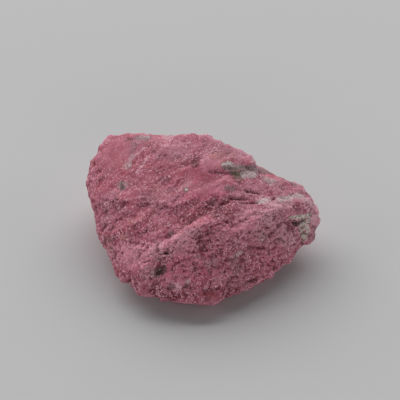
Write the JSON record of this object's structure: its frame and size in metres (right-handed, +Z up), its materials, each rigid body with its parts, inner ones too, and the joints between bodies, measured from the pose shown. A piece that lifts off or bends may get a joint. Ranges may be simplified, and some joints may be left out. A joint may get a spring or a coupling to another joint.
{
  "type": "thulite specimen",
  "caption": "Rough broken block of pink thulite, flat underneath, with a tilted upper face, a long rib above its steep front face and a narrow nose; it rests as a display or prop stone.",
  "frame": {"origin": "on the ground plane, below the middle of the stone's bounding box", "axes": "+Z up from the resting face, +X along the stone's length towards its narrow nose, -Y towards the steep front face below the rib"},
  "size_m": [0.097, 0.0808, 0.0399],
  "materials": {
    "thulite": "rough broken surface of sugary pink grains, matt with a fine sparkle, with small grey-green and white mineral patches"
  },
  "bodies": {
    "root": {"thulite_stone": "thulite"}
  },
  "joints": []
}
